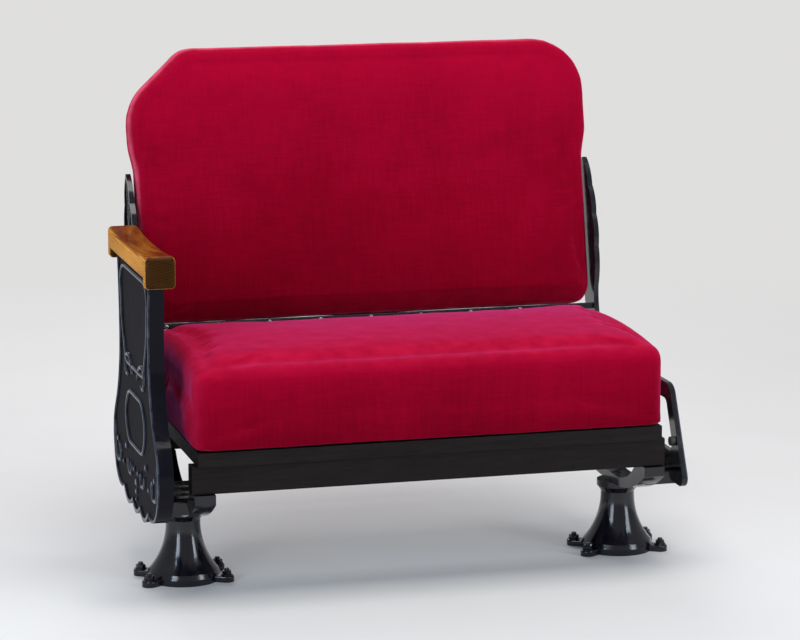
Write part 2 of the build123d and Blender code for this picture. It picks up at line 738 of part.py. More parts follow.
def make_window_end():
    """Open casting on the window side: a bowed frame whose foot rail carries the shafts."""
    start_x = place(1, END_INNER)
    foot_z = LUG_Z - LUG_HEIGHT / 2
    top_z = COLUMN_TOP + WINDOW_TOP_RISE
    bay_z = LUG_Z + LUG_HEIGHT / 2 + WINDOW_RIB
    bay_foot = WINDOW_FOOT_HALF - 2 * WINDOW_RIB
    bay_top = WINDOW_TOP_HALF - WINDOW_RIB / 2
    frame = rounded_face(mirrored((
        # across, up, corner radius
        (WINDOW_TOP_HALF, top_z, WINDOW_CORNER),
        (WINDOW_FOOT_HALF, foot_z, WINDOW_CORNER / 2),
    )), 0)
    bay = rounded_face(mirrored((
        (bay_top, top_z - WINDOW_RIB, WINDOW_CORNER / 2),
        (bay_foot, bay_z, WINDOW_CORNER / 2),
    )), 0)
    with BuildPart() as end:
        with BuildSketch(cross_plane(start_x)):
            add(frame)
            add(bay, mode=Mode.SUBTRACT)
            with Locations(*stop_centres()):
                Circle(STOP_BOSS_RADIUS)
        extrude(amount=WINDOW_PLATE_THICK)
        fillet(end.faces().sort_by(Axis.X)[-1].edges(), radius=CAST_FILLET)
        with BuildSketch(cross_plane(start_x)):
            with Locations(FRONT_FOOT, REAR_FOOT):
                Circle(BOSS_RADIUS)
        extrude(amount=SHAFT_ENTRY + CAST_FILLET)
        with BuildSketch(cross_plane(start_x)):
            with Locations(FRONT_FOOT, REAR_FOOT):
                Circle(SHAFT_RADIUS + RUNNING_CLEARANCE)
        extrude(amount=SHAFT_ENTRY + CAST_FILLET, mode=Mode.SUBTRACT)
    return end


def make_armrest():
    """Oak armrest: dished top, rounded ends with drooping lips, set down over the end casting."""
    half = ARMREST_LENGTH / 2
    top = PANEL_TOP + ARMREST_THICK
    lip_inner = half - ARMREST_LIP_LENGTH
    lip_z = PANEL_TOP - ARMREST_LIP_DROP
    nose = half - ARMREST_NOSE_RADIUS
    crest = top + ARMREST_END_RISE
    with BuildPart() as armrest:
        with BuildSketch(cross_plane(place(-1, ARMREST_MIDDLE))) as profile:
            with BuildLine():
                dish = ThreePointArc((-nose, crest), (0, top), (nose, crest))
                front = TangentArc(dish @ 1, (half, crest - ARMREST_NOSE_RADIUS), tangent=dish % 1)
                rear = TangentArc(dish @ 0, (-half, crest - ARMREST_NOSE_RADIUS), tangent=(dish % 0) * -1)
                Polyline(
                    front @ 1, (half, lip_z), (lip_inner, lip_z), (lip_inner, PANEL_TOP),
                    (-lip_inner, PANEL_TOP), (-lip_inner, lip_z), (-half, lip_z), rear @ 1,
                )
            make_face()
            fillet(profile.vertices().group_by(Axis.Y)[0], radius=ARMREST_EDGE_RADIUS)
        extrude(amount=ARMREST_WIDTH / 2, both=True)
        sides = armrest.edges().group_by(Axis.X)
        fillet(sides[0] + sides[-1], radius=ARMREST_EDGE_RADIUS - EDGE_BREAK)
    return armrest


def main():
    os.makedirs(OUT, exist_ok=True)
    for name, side in ENDS:
        save(make_pedestal(side), f"{name}_pedestal")
        save(make_yoke(side), f"{name}_yoke")
        save(make_back_casting(side), f"{name}_back_casting")
        save(make_pivot_pins(side), f"{name}_pivot_pins")
        save(make_arm(side, FRONT_FOOT, FRONT_TOP, PIN_RADIUS + RUNNING_CLEARANCE), f"{name}_front_arm")
        save(make_arm(side, REAR_FOOT, REAR_TOP, PIN_RADIUS + LOOSE_EYE_PLAY), f"{name}_rear_arm")
        save(make_stops(side), f"{name}_stops")
    save(make_rail(-RAIL_OFFSET), "front_rail")
    save(make_rail(RAIL_OFFSET), "rear_rail")
    save(make_cushion_base(), "cushion_base")
    save(make_cushion(), "cushion")
    save(make_back_pad(), "back_pad")
    save(make_back_rail(), "back_rail")
    save(make_shaft(FRONT_FOOT), "front_shaft")
    save(make_shaft(REAR_FOOT), "rear_shaft")
    save(make_aisle_panel(), "aisle_panel")
    save(make_window_end(), "window_end")
    save(make_armrest(), "armrest")
    print(f"front arm foot {FRONT_FOOT}, rear arm foot {REAR_FOOT}")
    print(f"front pin {FRONT_TOP}, rear pin {REAR_TOP}")
    print(f"arm leans {FRONT_ARM_LEAN:.4f} and {REAR_ARM_LEAN:.4f}, swing {SWING:.4f}")


main()
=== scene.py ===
"""Looks of a railway coach's walkover double seat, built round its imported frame.

Everything is in metres in the frame's own axes: X from the aisle to the window, Y away from
the sitter, Z up. The plush is simulated, the small fasteners are modelled, and every surface
gets a procedural finish.
"""

import json
import math

import bmesh
import bpy
from mathutils import Matrix, Vector, noise


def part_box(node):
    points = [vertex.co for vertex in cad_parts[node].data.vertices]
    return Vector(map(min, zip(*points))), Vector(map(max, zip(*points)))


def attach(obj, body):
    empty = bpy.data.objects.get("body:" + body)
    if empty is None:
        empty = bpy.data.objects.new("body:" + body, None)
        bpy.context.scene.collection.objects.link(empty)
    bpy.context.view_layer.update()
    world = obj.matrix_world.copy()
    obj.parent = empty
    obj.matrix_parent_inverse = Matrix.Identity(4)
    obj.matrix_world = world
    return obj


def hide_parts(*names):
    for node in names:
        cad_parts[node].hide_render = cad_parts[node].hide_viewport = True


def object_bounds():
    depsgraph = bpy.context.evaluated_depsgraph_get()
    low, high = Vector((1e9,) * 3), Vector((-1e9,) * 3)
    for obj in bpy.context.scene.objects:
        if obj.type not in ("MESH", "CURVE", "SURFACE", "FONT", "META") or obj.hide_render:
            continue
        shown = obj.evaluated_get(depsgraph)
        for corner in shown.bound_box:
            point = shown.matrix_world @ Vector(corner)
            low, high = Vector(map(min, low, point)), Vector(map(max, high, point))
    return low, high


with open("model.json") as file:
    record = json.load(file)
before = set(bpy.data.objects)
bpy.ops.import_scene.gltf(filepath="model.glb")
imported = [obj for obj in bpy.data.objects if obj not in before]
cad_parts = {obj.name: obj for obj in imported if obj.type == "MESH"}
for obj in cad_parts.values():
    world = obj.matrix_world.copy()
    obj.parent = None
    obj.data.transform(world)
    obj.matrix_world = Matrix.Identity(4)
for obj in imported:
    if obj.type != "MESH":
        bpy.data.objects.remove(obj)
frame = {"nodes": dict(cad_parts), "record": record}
cad_low, cad_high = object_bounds()
nodes = frame["nodes"]
mounts = {mount["name"]: mount for mount in frame["record"]["mounts"]}

MM = 0.001
UP = (0, 0, 1)
DOWN = (0, 0, -1)

# Halfway between the pedestals, since X is 0 in the middle of the aisle one
SEAT_MIDDLE = mounts["window_foot_bolts"]["pos_m"][0] / 2

# The leaning back: its angle, the middle of its foot, and the rail under it
BACK_LEAN = math.radians(12)
BACK_FOOT_Y = 0.274
BACK_FOOT_Z = 0.443
BACK_RAIL_HALF = 0.022
BACK_RAIL_THICK = 0.012
RAIL_SCREWS = 9

# Places on the castings that their boxes don't give
EAR_TOP = 0.012
YOKE_THICK = 0.018
YOKE_BOLT_X = 0.011
LUG_Y = 0.150
LUG_Z = 0.178
LUG_SET_BACK = 0.003
LEAF_SET_BACK = 0.004
LEAF_SCREWS = ((-0.024, 0.048), (0.024, 0.048), (-0.020, 0.176), (0.020, 0.176))
PIN_PLACES = ((0.227106, 0.376292), (0.289707, 0.362986))

# The aisle panel's ground, and how far above it the relief's own finish starts and is full
PANEL_GROUND_X = -0.087
RELIEF_FOOT = 0.0006
RELIEF_FULL = 0.0018

# Covers, before the cloth step: joined points, mesh size, and how far they are drawn in
WELD = 0.00002
COVER_VOXEL = 0.0078
COVER_SHRINK = 0.004

# Covers, after it: how far they may have pulled in, and their gap to iron and wood
PULL_IN = 0.0015
COVER_GAP = 0.0003

# Cushion cover: farthest move, height held still, room past its ends, and the reach of the canvas
CUSHION_RISE = 0.012
CUSHION_HELD = 0.012
CUSHION_PROUD = 0.002
CANVAS_REACH = 0.006
CANVAS_FACING = -0.9

# Back cover: farthest move, height held still, room past its ends, and how its foot meets the rail
BACK_RISE = 0.013
BACK_HELD = 0.014
BACK_PROUD = 0.003
FOOT_REACH = 0.030
FOOT_GAP = 0.0004

# Lumps of the stuffing: height, length and seed, then how the seed moves and roughens the noise
CUSHION_LUMPS = (0.0009, 0.11, 3.0)
BACK_LUMPS = (0.0008, 0.13, 11.0)
LUMP_SHIFT = (1.0, 0.37, 1.91)
LUMP_FRACTAL = (0.8, 2.1, 3)

# Cloth settings of a tight plush cover that its stuffing presses out
CLOTH_STEPS = 20
COVER_CLOTH = {
    "quality": 5,
    "mass": 0.25,
    "use_pressure": True,
    "uniform_pressure_force": 4.0,
    "tension_stiffness": 22,
    "compression_stiffness": 22,
    "shear_stiffness": 8,
    "bending_stiffness": 1.5,
}

# Heads of the fasteners, as stacks of turned forms: (sides, rows of (radius, height) in millimetres)
FOOT_BOLT = (
    (28, ((11.5, 0.0), (11.5, 1.6), (10.9, 2.2))),
    (6, ((9.2, 2.2), (9.8, 2.9), (9.8, 7.6), (8.4, 8.8))),
    (16, ((5.0, 8.8), (5.0, 12.6), (4.2, 13.4))),
)
HEX_HEAD = (
    (24, ((9.4, 0.0), (9.4, 1.2), (9.0, 1.6))),
    (6, ((7.4, 1.6), (7.9, 2.2), (7.9, 5.8), (6.7, 6.9))),
)
DOME_SCREW = (
    (20, ((4.4, 0.0), (4.4, 0.5), (4.0, 1.3), (3.0, 2.1), (1.6, 2.6), (0.3, 2.75))),
)
PIN_WASHER = (
    (24, ((8.6, 0.0), (8.6, 1.2), (8.1, 1.6))),
    (20, ((4.6, 1.6), (4.6, 2.6), (3.9, 3.3))),
)

# Degrees that each head is turned past the one before, and from which its edges stay sharp
HEAD_TURN = 37
HEAD_CREASE = 32

# Threads of the plush along X, Y and Z, and how far they wander
THREAD_PITCHES = (0.0046, 0.0052, 0.0052)
THREAD_WANDER = 0.003

# A band texture of scale 1 has a band every 0.314 m
BAND_SPACING = 0.314

# Heights between which the plush goes from a painted shade, darker lower down, to its paler colour
CUSHION_PAINTED_SHADE = (0.29, 0.46)
BACK_PAINTED_SHADE = (0.46, 0.94)

# Puts the middle of the oak's rings about 0.2 m under the armrest
OAK_HEART = (0.016, 0, -0.40)

# Colours, linear
# The plush's range from deep to lit carries its random tone and a painted shade by height
CRIMSON_DEEP = (0.090, 0.0002, 0.0050)
CRIMSON = (0.205, 0.0004, 0.0115)
CRIMSON_LIT = (0.310, 0.0010, 0.0200)
# Painted light: a paler crimson on the rolled rims and sides of the plush
CRIMSON_PAINTED_RIM_LIGHT = (0.520, 0.0100, 0.0520)
# Painted sheen: the pale-pink line along the crests of the plush's rims
CRIMSON_PAINTED_SHEEN = (0.820, 0.1300, 0.2200)
PINK_SHEEN = (1.0, 0.20, 0.34)
MAGENTA_SHEEN = (0.92, 0.15, 0.58)
HESSIAN_LIGHT = (0.210, 0.150, 0.090)
HESSIAN_DARK = (0.060, 0.042, 0.026)
ENAMEL = (0.0032, 0.0030, 0.0062)
ENAMEL_DUSTY = (0.0150, 0.0120, 0.0140)
# Worn relief of the panel, tinted blue-grey as a painted highlight
ENAMEL_WORN_AND_HIGHLIGHT = (0.0400, 0.0460, 0.0660)
OAK_LIGHT = (0.800, 0.370, 0.060)
OAK_MID = (0.560, 0.215, 0.027)
OAK_DARK = (0.130, 0.032, 0.004)
OAK_RED = (0.120, 0.018, 0.004)
OAK_END = (0.012, 0.0035, 0.001)
STEEL = (0.330, 0.330, 0.345)
STEEL_OILY = (0.090, 0.075, 0.062)
RUBBER = (0.022, 0.021, 0.021)
RUBBER_BLOOM = (0.060, 0.057, 0.054)
PAINT = (0.0050, 0.0036, 0.0036)
PAINT_WORN = (0.0130, 0.0090, 0.0080)
FLOOR = (0.700, 0.690, 0.680)
FLOOR_SHADE = (0.660, 0.650, 0.640)
BACKDROP = (0.74, 0.735, 0.73)
SKY = (0.93, 0.95, 1.0)

# Stage: half the floor's side, and where its own shade gives way to the even tone round the seat's middle
FLOOR_HALF = 60.0
FADE_START = 1.3
FADE_END = 3.4
SKY_STRENGTH = 0.42

# Lamps: name, place, size, watts, colour
LAMPS = (
    ("window_light", (3.2, -2.6, 1.3), (0.9, 2.2), 46, (0.86, 0.93, 1.0)),
    ("aisle_light", (-2.2, -2.6, 1.05), (0.9, 2.0), 46, (0.78, 0.89, 1.0)),
    ("ceiling_light", (0.4, -0.8, 4.2), (3.0, 2.4), 110, (1.0, 0.98, 0.96)),
    ("back_light", (0.6, 4.0, 2.9), (2.6, 1.2), 80, (0.94, 0.96, 1.0)),
    ("aisle_strip", (-1.45, -1.3, 0.95), (0.022, 1.8), 8, (0.55, 0.76, 1.0)),
    ("window_strip", (2.2, -2.0, 0.95), (0.022, 1.8), 8, (0.58, 0.78, 1.0)),
)

# Camera at the standing eye's place, worked out from the photograph's perspective; its lens in millimetres
CAMERA_PLACE = (-1.168, -5.909, 1.650)
CAMERA_TARGET = (SEAT_MIDDLE, 0.03, 0.475)
CAMERA_LENS = 146
CAMERA_REACH = 200


# Node trees


class Finish:
    """A material with short ways to add its nodes."""

    def __init__(self, name):
        self.material = bpy.data.materials.new(name)
        self.material.use_nodes = True
        self.tree = self.material.node_tree
        self.shader = self.tree.nodes["Principled BSDF"]
        coordinates = self.tree.nodes.new("ShaderNodeTexCoord")
        self.position = coordinates.outputs["Object"]
        self.normal = coordinates.outputs["Normal"]

    def node(self, kind, inputs=None, **settings):
        """A new shader node, with its settings made before its inputs are set or linked."""
        made = self.tree.nodes.new("ShaderNode" + kind)
        for key, value in settings.items():
            setattr(made, key, value)
        for key, value in (inputs or {}).items():
            self.put(made.inputs[key], value)
        return made

    def put(self, socket, value):
        """Links a socket to another one, or sets its value, also a colour given without alpha."""
        if isinstance(value, bpy.types.NodeSocket):
            self.tree.links.new(value, socket)
        elif isinstance(value, tuple) and len(value) == 3 and len(socket.default_value) == 4:
            socket.default_value = (*value, 1)
        else:
            socket.default_value = value

    def set(self, **values):
        """Sets the shader's own sockets, given with underscores for spaces."""
        for key, value in values.items():
            self.put(self.shader.inputs[key.replace("_", " ")], value)

    def place(self, scale=(1, 1, 1), turn=(0, 0, 0), shift=(0, 0, 0)):
        """Object coordinates in metres, turned, shifted and scaled."""
        inputs = {"Vector": self.position, "Scale": scale, "Rotation": turn, "Location": shift}
        return self.node("Mapping", inputs).outputs[0]

    def turned(self, vector, angle):
        """A vector turned about X."""
        inputs = {"Vector": vector, "Angle": angle}
        return self.node("VectorRotate", inputs, rotation_type="X_AXIS").outputs[0]

    def part(self, vector, axis):
        """One coordinate of a vector."""
        return self.node("SeparateXYZ", {"Vector": vector}).outputs[axis]

    def noise(self, vector, scale, detail=3.0, roughness=0.55, distortion=0.0):
        inputs = {
            "Vector": vector,
            "Scale": scale,
            "Detail": detail,
            "Roughness": roughness,
            "Distortion": distortion,
        }
        return self.node("TexNoise", inputs).outputs["Fac"]

    def grain(self, stretch, detail, roughness=0.55, distortion=0.0, turn=(0, 0, 0)):
        """Noise drawn out along the axes where stretch is small."""
        return self.noise(self.place(scale=stretch, turn=turn), 1.0, detail, roughness, distortion)

    def bands(self, vector, scale, axis, distortion=0.0):
        """Even bands that follow each other along an axis."""
        inputs = {"Vector": vector, "Scale": scale, "Distortion": distortion}
        return self.node("TexWave", inputs, wave_type="BANDS", bands_direction=axis).outputs["Fac"]

    def math(self, operation, first, second=0.0, clamp=False):
        made = self.node("Math", operation=operation, use_clamp=clamp)
        self.put(made.inputs[0], first)
        self.put(made.inputs[1], second)
        return made.outputs[0]

    def times(self, first, second):
        return self.math("MULTIPLY", first, second)

    def plus(self, first, second):
        return self.math("ADD", first, second)

    def total(self, values):
        """Sum of two or more values."""
        result, *others = values
        for value in others:
            result = self.plus(result, value)
        return result

    def weighted(self, *terms):
        """Sum of values, each given with its weight."""
        return self.total([self.times(value, weight) for value, weight in terms])

    def span(self, value, low, high, to_low=0.0, to_high=1.0):
        """Maps a value from one range to another, with its ends held."""
        inputs = {"Value": value, "From Min": low, "From Max": high, "To Min": to_low, "To Max": to_high}
        return self.node("MapRange", inputs).outputs[0]

    def mix(self, factor, first, second):
        """Colour that goes from the first to the second as the factor goes from 0 to 1."""
        made = self.node("Mix", data_type="RGBA")
        self.put(made.inputs[0], factor)
        self.put(made.inputs[6], first)
        self.put(made.inputs[7], second)
        return made.outputs[2]

    def ramp(self, value, *stops):
        """Colour ramp with stops as (place, colour)."""
        made = self.node("ValToRGB", {"Fac": value})
        while len(made.color_ramp.elements) < len(stops):
            made.color_ramp.elements.new(0.5)
        for element, (position, colour) in zip(made.color_ramp.elements, stops):
            element.position = position
            element.color = (*colour, 1)
        return made.outputs["Color"]

    def bump(self, height, strength, distance, below=None):
        """Relief from a height, on top of the relief below where that is given."""
        made = self.node("Bump", {"Height": height, "Strength": strength, "Distance": distance})
        if below is not None:
            self.put(made.inputs["Normal"], below)
        return made.outputs[0]


# Materials


def cross_threads(finish, flat, facing):
    """Threads along all three axes, each fading out on the faces that look along its axis."""
    wander = finish.node("TexNoise", {"Vector": flat, "Scale": 22.0, "Detail": 2.0}).outputs["Color"]
    bent = finish.node("VectorMath", {0: wander, 1: (THREAD_WANDER,) * 3}, operation="MULTIPLY")
    at = finish.node("VectorMath", {0: flat, 1: bent.outputs[0]}, operation="ADD").outputs[0]
    threads = []
    for axis, pitch in zip("XYZ", THREAD_PITCHES):
        band = finish.bands(at, BAND_SPACING / pitch, axis)
        along = finish.math("ABSOLUTE", finish.part(facing, axis))
        threads.append(finish.times(band, finish.math("SUBTRACT", 1.0, along, clamp=True)))
    return finish.total(threads)


def plush(name, lean, shade, sheen, sheen_roughness, sheen_tint, crest_sheen):
    """Close mohair plush: fine cross threads under the pile, painted shade lower down, painted light on the
    rolled rims.

    lean is the piece's lean about X, and shade the two heights between which the painted shade turns paler.
    The sheen, its roughness and its tint are the light that the standing pile catches. crest_sheen is
    how strongly a pale-pink painted sheen lies along the crest of a rim.
    """
    finish = Finish(name)
    turn = (lean, 0, 0)
    flat = finish.place(turn=turn)
    facing = finish.turned(finish.normal, lean)
    threads = cross_threads(finish, flat, facing)
    slub = finish.grain((26, 60, 210), detail=2.0, turn=turn)
    slub_up = finish.grain((240, 60, 14), detail=2.0, turn=turn)
    lines = finish.times(finish.plus(slub, slub_up), 0.5)
    patches = finish.noise(flat, scale=5.0, distortion=0.4)
    pile = finish.noise(flat, scale=1100.0, detail=2.0, roughness=0.7)
    # Painted shade: darker towards the bottom of the piece, paler towards its top
    height = finish.span(finish.part(finish.position, "Z"), *shade)
    tone = finish.weighted((lines, 0.30), (patches, 0.30), (threads, -0.02), (height, 0.30))
    depth = finish.span(tone, 0.14, 0.62)
    colour = finish.ramp(depth, (0.0, CRIMSON_DEEP), (0.55, CRIMSON), (1.0, CRIMSON_LIT))
    mottle = finish.span(finish.noise(flat, scale=34.0), 0.34, 0.70, 0.45, 1.0)
    face_on = finish.math("ABSOLUTE", finish.part(facing, "Y"))
    # Painted light: rims and sides that turn away from the faces are painted paler, in patches
    rolled = finish.times(finish.span(face_on, 0.96, 0.35), mottle)
    colour = finish.mix(finish.times(rolled, 0.66), colour, CRIMSON_PAINTED_RIM_LIGHT)
    # Painted sheen: a pale-pink line painted along the crest of each rim, faint on the flat sides
    crest = finish.span(face_on, 0.60, 0.22, 0.0, crest_sheen)
    crest = finish.times(crest, finish.span(face_on, 0.0, 0.20, 0.28, 1.0))
    colour = finish.mix(finish.times(crest, mottle), colour, CRIMSON_PAINTED_SHEEN)
    relief = finish.plus(finish.times(threads, 0.22), lines)
    surface = finish.bump(relief, strength=0.22, distance=0.0007)
    surface = finish.bump(pile, strength=0.22, distance=0.0005, below=surface)
    finish.set(Base_Color=colour, Roughness=0.92, Specular_IOR_Level=0.02, Normal=surface)
    finish.set(Sheen_Weight=sheen, Sheen_Roughness=sheen_roughness, Sheen_Tint=sheen_tint)
    return finish.material


def hessian(name):
    """Coarse brown canvas under the cushion, with its weave along X and Y."""
    finish = Finish(name)
    flat = finish.place()
    warp, weft = [finish.bands(flat, scale=120.0, axis=axis, distortion=0.6) for axis in "XY"]
    weave = finish.math("MAXIMUM", warp, weft)
    soil = finish.span(finish.noise(flat, scale=9.0, detail=4.0), 0.3, 0.7, 0.55, 1.0)
    colour = finish.mix(finish.times(weave, soil), HESSIAN_DARK, HESSIAN_LIGHT)
    surface = finish.bump(weave, strength=0.5, distance=0.0008)
    finish.set(Base_Color=colour, Roughness=0.95, Specular_IOR_Level=0.1, Normal=surface)
    return finish.material


def enamel(name, gloss, ground_x=None):
    """Thick black enamel over cast iron: brushed on, glossy, a little dust where it lies flat.

    Where ground_x is given, it is the X of an ornate face's ground. The ground has gone dull there,
    and the relief that stands out of it is worn paler and tinted blue-grey as a painted highlight.
    """
    finish = Finish(name)
    flat = finish.place()
    cast = finish.noise(flat, scale=420.0, roughness=0.6)
    brushed = finish.noise(flat, scale=46.0, detail=2.0, roughness=0.5, distortion=0.4)
    dust = finish.span(finish.noise(flat, scale=22.0, detail=4.0, roughness=0.65), 0.46, 0.74)
    upward = finish.span(finish.part(finish.normal, "Z"), 0.1, 1.0, 0.08, 0.7)
    lying = finish.times(dust, upward)
    colour = finish.mix(lying, ENAMEL, ENAMEL_DUSTY)
    uneven = finish.plus(lying, finish.times(brushed, 0.25))
    rough = finish.span(uneven, 0.05, 0.8, 0.10, 0.42)
    if ground_x is not None:
        sunk = finish.span(finish.part(flat, "X"), ground_x - RELIEF_FULL, ground_x - RELIEF_FOOT)
        outward = finish.span(finish.part(finish.normal, "X"), -0.90, -0.98)
        raised = finish.math("SUBTRACT", 1.0, sunk)
        # Relief worn paler in patches, and given a blue-grey painted highlight
        worn_and_highlit = finish.times(raised, finish.span(brushed, 0.36, 0.62, 0.20, 1.0))
        colour = finish.mix(worn_and_highlit, colour, ENAMEL_WORN_AND_HIGHLIGHT)
        rough = finish.weighted((rough, 0.6), (finish.times(sunk, outward), 0.66))
    surface = finish.bump(brushed, strength=0.14, distance=0.0016)
    surface = finish.bump(cast, strength=0.06, distance=0.0004, below=surface)
    finish.set(Base_Color=colour, Roughness=rough, Specular_IOR_Level=gloss, Normal=surface)
    return finish.material


def oak(name):
    """Varnished oak with its grain along Y: rings, fibres, pores, a redder top and dark end grain."""
    finish = Finish(name)
    rings = finish.node(
        "TexWave",
        {
            "Vector": finish.place(scale=(1, 0.10, 1), shift=OAK_HEART),
            "Scale": 62.0,
            "Distortion": 3.2,
            "Detail": 3.0,
            "Detail Scale": 9.0,
            "Detail Roughness": 0.6,
        },
        wave_type="RINGS",
        rings_direction="Y",
        wave_profile="SAW",
    ).outputs["Fac"]
    fibres = finish.grain((620, 14, 620), detail=3.0, roughness=0.6)
    pores = finish.span(finish.grain((1500, 46, 1500), detail=2.0), 0.60, 0.70)
    broad = finish.grain((26, 7, 26), detail=3.0)
    tone = finish.weighted((rings, 0.40), (fibres, 0.32), (broad, 0.50))
    depth = finish.span(tone, 0.40, 0.92)
    colour = finish.ramp(depth, (0.0, OAK_LIGHT), (0.5, OAK_MID), (1.0, OAK_DARK))
    upward = finish.span(finish.part(finish.normal, "Z"), 0.45, 0.95)
    top = finish.times(upward, finish.span(broad, 0.25, 0.65, 0.7, 1.0))
    colour = finish.mix(top, colour, OAK_RED)
    end = finish.span(finish.math("ABSOLUTE", finish.part(finish.normal, "Y")), 0.30, 0.65)
    colour = finish.mix(finish.times(end, 0.96), colour, OAK_END)
    colour = finish.mix(finish.times(pores, 0.5), colour, OAK_END)
    relief = finish.math("SUBTRACT", finish.times(fibres, 0.35), pores)
    surface = finish.bump(relief, strength=0.16, distance=0.0003)
    rough = finish.span(finish.plus(broad, top), 0.3, 1.4, 0.30, 0.50)
    finish.set(Base_Color=colour, Roughness=rough, Normal=surface)
    finish.set(Coat_Weight=0.12, Coat_Roughness=0.07, Coat_IOR=1.45, Specular_IOR_Level=0.0)
    return finish.material


def steel(name):
    """Turned steel with patches of oil."""
    finish = Finish(name)
    lathed = finish.grain((900, 60, 60), detail=2.0)
    oily = finish.span(finish.noise(finish.place(), scale=60.0, detail=4.0), 0.42, 0.66)
    colour = finish.mix(oily, STEEL, STEEL_OILY)
    rough = finish.span(finish.plus(lathed, oily), 0.3, 1.6, 0.24, 0.52)
    surface = finish.bump(lathed, strength=0.12, distance=0.0003)
    finish.set(Base_Color=colour, Roughness=rough, Metallic=0.92, Normal=surface)
    return finish.material


def rubber(name):
    """Black rubber with a grey bloom in patches."""
    finish = Finish(name)
    rough_skin = finish.noise(finish.place(), scale=700.0, roughness=0.7)
    bloom = finish.span(finish.noise(finish.place(), scale=90.0), 0.45, 0.75)
    colour = finish.mix(bloom, RUBBER, RUBBER_BLOOM)
    rough = finish.span(bloom, 0.0, 1.0, 0.58, 0.82)
    surface = finish.bump(rough_skin, strength=0.25, distance=0.0005)
    finish.set(Base_Color=colour, Roughness=rough, Normal=surface)
    return finish.material


def painted_board(name):
    """Dark painted wood with its grain along X, worn in streaks."""
    finish = Finish(name)
    streaks = finish.grain((9, 90, 90), detail=5.0, roughness=0.65, distortion=1.2)
    fine = finish.grain((54, 540, 540), detail=2.0)
    soil = finish.span(finish.noise(finish.place(), scale=14.0, detail=4.0), 0.40, 0.75)
    tone = finish.weighted((streaks, 0.7), (fine, 0.3))
    colour = finish.ramp(finish.span(tone, 0.34, 0.66), (0.0, PAINT), (1.0, PAINT_WORN))
    colour = finish.mix(finish.times(soil, 0.45), colour, PAINT)
    rough = finish.span(tone, 0.3, 0.7, 0.35, 0.60)
    surface = finish.bump(tone, strength=0.30, distance=0.0008)
    finish.set(Base_Color=colour, Roughness=rough, Specular_IOR_Level=0.12, Normal=surface)
    return finish.material


def pale_floor(name):
    """Pale floor near the seat; far off, camera and reflections see one even tone instead."""
    finish = Finish(name)
    mottle = finish.span(finish.noise(finish.place(), scale=3.0, detail=4.0), 0.3, 0.7, 0.0, 0.5)
    finish.set(Base_Color=finish.mix(mottle, FLOOR, FLOOR_SHADE), Roughness=0.8)
    from_seat = finish.place(shift=(-SEAT_MIDDLE, 0, 0))
    away = finish.node("VectorMath", {0: from_seat}, operation="LENGTH").outputs["Value"]
    ray = finish.node("LightPath").outputs
    seen = finish.math("ADD", ray["Is Camera Ray"], ray["Is Glossy Ray"], clamp=True)
    seen = finish.math("ADD", seen, ray["Is Transmission Ray"], clamp=True)
    far = finish.times(finish.span(away, FADE_START, FADE_END), seen)
    even = finish.node("Emission", {"Color": BACKDROP, "Strength": 1.0})
    blended = finish.node("MixShader", {0: far, 1: finish.shader.outputs[0], 2: even.outputs[0]})
    finish.put(finish.tree.nodes["Material Output"].inputs["Surface"], blended.outputs[0])
    return finish.material


crimson_cushion = plush(
    "crimson_plush_cushion",
    lean=0.0,
    shade=CUSHION_PAINTED_SHADE,
    sheen=0.55,
    sheen_roughness=0.26,
    sheen_tint=MAGENTA_SHEEN,
    crest_sheen=0.0,
)
crimson_back = plush(
    "crimson_plush_back",
    lean=BACK_LEAN,
    shade=BACK_PAINTED_SHADE,
    sheen=0.70,
    sheen_roughness=0.12,
    sheen_tint=PINK_SHEEN,
    crest_sheen=0.85,
)
brown_hessian = hessian("brown_hessian")
black_enamel = enamel("black_enamel", gloss=0.50)
panel_enamel = enamel("black_enamel_panel", gloss=0.12, ground_x=PANEL_GROUND_X)

# What each slot of the record is finished with
SLOT_FINISH = {
    "enamelled_iron": black_enamel,
    "varnished_oak": oak("varnished_oak"),
    "bare_steel": steel("bare_steel"),
    "black_rubber": rubber("black_rubber"),
    "painted_ash": painted_board("painted_ash"),
    "crimson_plush": crimson_back,
}


# Meshes


def linked(name, data):
    """A new object in the scene for a mesh, lamp or camera."""
    made = bpy.data.objects.new(name, data)
    bpy.context.scene.collection.objects.link(made)
    return made


def to_mesh(form, name):
    """A mesh made from a bmesh, which is freed."""
    mesh = bpy.data.meshes.new(name)
    form.to_mesh(mesh)
    form.free()
    return mesh


def dress(mesh, material):
    """Gives a mesh one material in place of those it has."""
    mesh.materials.clear()
    mesh.materials.append(material)


def apply_modifiers(piece):
    """Replaces a piece's mesh with what its modifiers make of it."""
    depsgraph = bpy.context.evaluated_depsgraph_get()
    depsgraph.update()
    made = bpy.data.meshes.new_from_object(piece.evaluated_get(depsgraph), depsgraph=depsgraph)
    piece.modifiers.clear()
    piece.data = made


def push(piece, amount):
    """Moves each point of a piece along its normal, by what amount() gives for its place."""
    normals = [vertex.normal.copy() for vertex in piece.data.vertices]
    for vertex, normal in zip(piece.data.vertices, normals):
        vertex.co += normal * amount(vertex.co)


def settle(piece, limit):
    """Moves each point of a piece to where limit() lets it be."""
    for vertex in piece.data.vertices:
        vertex.co = limit(vertex.co.copy())


def held_between(value, low, high):
    """The value, or the limit that it is past."""
    return min(max(value, low), high)


# Plush covers


def remeshed_copy(name, node):
    """A node's form as one even mesh, drawn in along its normals."""
    form = bmesh.new()
    form.from_mesh(nodes[node].data)
    bmesh.ops.remove_doubles(form, verts=form.verts, dist=WELD)
    piece = linked(name, to_mesh(form, name))
    remesh = piece.modifiers.new("even", "REMESH")
    remesh.mode = "VOXEL"
    remesh.voxel_size = COVER_VOXEL
    smooth = piece.modifiers.new("ease", "SMOOTH")
    smooth.iterations = 2
    apply_modifiers(piece)
    push(piece, lambda point: -COVER_SHRINK)
    return piece


